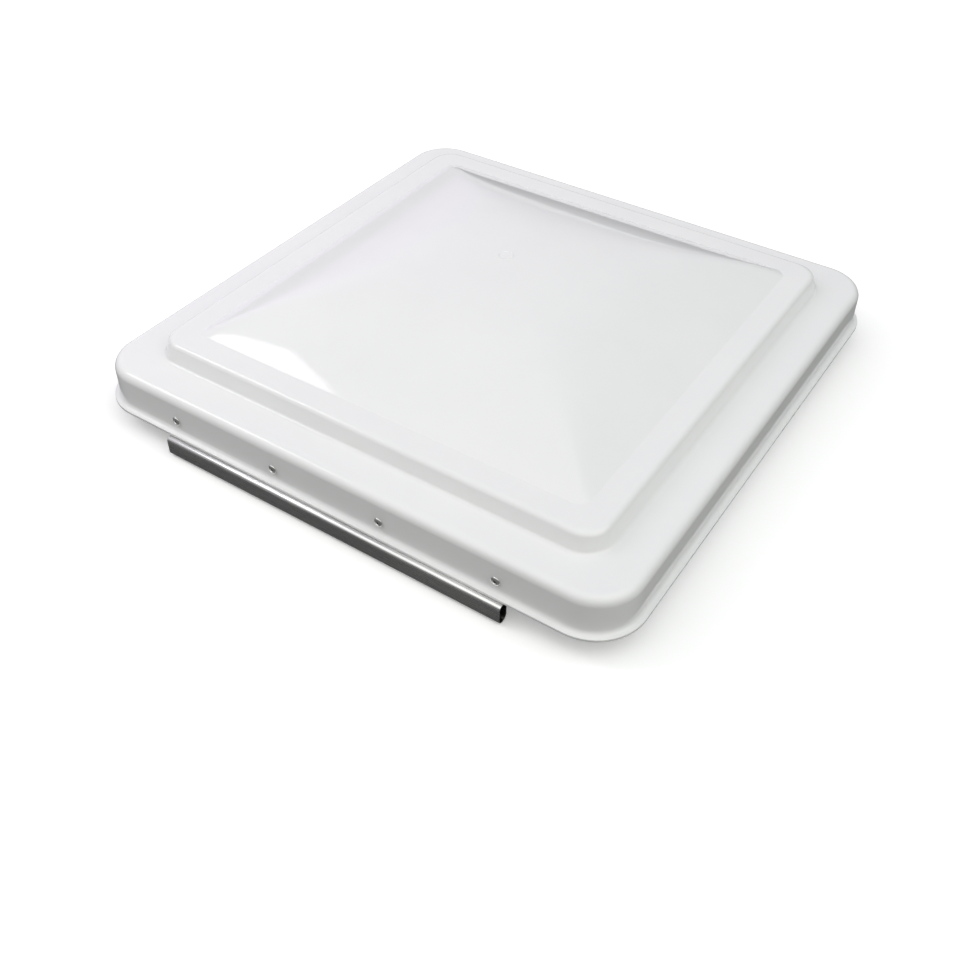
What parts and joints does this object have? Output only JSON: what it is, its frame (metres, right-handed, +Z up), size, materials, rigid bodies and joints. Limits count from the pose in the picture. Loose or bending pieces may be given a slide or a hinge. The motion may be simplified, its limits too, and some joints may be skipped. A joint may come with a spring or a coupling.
{
  "type": "roof vent cover",
  "caption": "Square domed lid for a caravan roof vent, with a rolled steel hinge rail riveted to one side and a lift rail with a sliding shoe beneath.",
  "frame": {"origin": "centre of the square lid, on the plane of the lip's underside", "axes": "+Z up out of the roof, X along the hinge rail, -Y towards the hinge side"},
  "size_m": [0.405, 0.4087, 0.0939],
  "materials": {
    "white_plastic": "smooth white polypropylene moulding, soft gloss",
    "rolled_steel": "rolled and brushed sheet steel",
    "rivet_aluminium": "plain aluminium blind rivet",
    "dark_steel": "dark plain steel",
    "zinc_steel": "zinc-plated steel",
    "nylon": "natural nylon",
    "grey_foam": "closed-cell foam strip"
  },
  "bodies": {
    "lid": {"cover_shell": "white_plastic", "hinge_rail": "rolled_steel", "hinge_rivet_1": "rivet_aluminium", "hinge_rivet_2": "rivet_aluminium", "hinge_rivet_3": "rivet_aluminium", "hinge_rivet_4": "rivet_aluminium", "rivet_mandrel_1": "dark_steel", "rivet_mandrel_2": "dark_steel", "rivet_mandrel_3": "dark_steel", "rivet_mandrel_4": "dark_steel", "lift_rail": "zinc_steel", "lift_rail_screw_1": "zinc_steel", "lift_rail_screw_2": "zinc_steel", "lift_rail_screw_3": "zinc_steel", "lift_rail_screw_4": "zinc_steel", "seal_hinge_side": "grey_foam", "seal_opening_side": "grey_foam", "seal_left": "grey_foam", "seal_right": "grey_foam"},
    "shoe": {"slide_shoe": "nylon"},
    "pin": {"arm_pin": "zinc_steel", "arm_pin_clip": "dark_steel"}
  },
  "joints": [
    {"name": "shoe_slide", "type": "slide", "parent": "lid", "child": "shoe", "axis": [1, 0, 0], "range_m": [-0.13, 0.13]},
    {"name": "arm_pin_turn", "type": "hinge", "parent": "shoe", "child": "pin", "pos_m": [0, 0.156, 0.0135], "axis": [0, 1, 0], "continuous": true}
  ]
}
